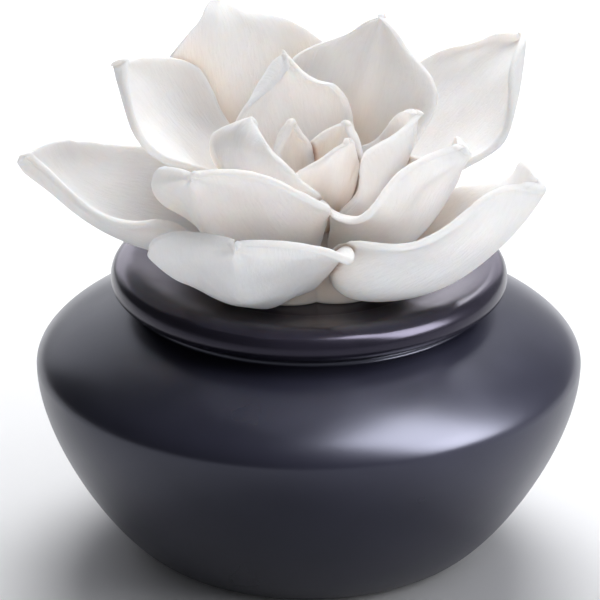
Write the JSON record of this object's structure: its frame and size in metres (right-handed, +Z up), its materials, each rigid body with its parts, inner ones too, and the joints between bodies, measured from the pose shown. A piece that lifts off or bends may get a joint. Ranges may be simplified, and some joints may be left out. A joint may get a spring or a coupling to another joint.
{
  "type": "porcelain flower fragrance diffuser",
  "caption": "Squat dark ceramic pot that holds fragrance oil, with a lift-off dished lid carrying a white porcelain flower whose petals wick and scent the air.",
  "frame": {"origin": "centre of the pot's foot, on the surface that it stands on", "axes": "+Z up along the pot's axis, through the centre of the flower; -Y is the front of the flower and +X its right"},
  "size_m": [0.1126, 0.11, 0.102],
  "materials": {
    "pot_glaze": "satin black glaze",
    "lid_glaze": "gloss black glaze",
    "seal_silicone": "translucent matt silicone",
    "wick_fibre": "bonded cotton fibre",
    "bisque_porcelain": "unglazed matt porcelain"
  },
  "bodies": {
    "pot": {"pot": "pot_glaze"},
    "seal": {"lid_seal": "seal_silicone"},
    "lid": {"lid": "lid_glaze", "wick": "wick_fibre", "flower_base": "bisque_porcelain", "petal_back_left": "bisque_porcelain", "petal_back_right": "bisque_porcelain", "petal_right": "bisque_porcelain", "petal_front_right": "bisque_porcelain", "petal_front": "bisque_porcelain", "petal_left": "bisque_porcelain", "petal_upper_left": "bisque_porcelain", "petal_middle_left": "bisque_porcelain", "petal_middle_right": "bisque_porcelain", "petal_curled_right": "bisque_porcelain", "petal_inner_back": "bisque_porcelain", "petal_inner_left": "bisque_porcelain", "petal_bud_left": "bisque_porcelain", "petal_bud_front": "bisque_porcelain", "petal_bud_back": "bisque_porcelain"}
  },
  "joints": [
    {"name": "lid_lift", "type": "slide", "parent": "pot", "child": "seal", "axis": [0, 0, 1], "range_m": [0, 0.055]},
    {"name": "lid_turn", "type": "hinge", "parent": "seal", "child": "lid", "pos_m": [0, 0, 0.054], "axis": [0, 0, 1], "continuous": true}
  ]
}
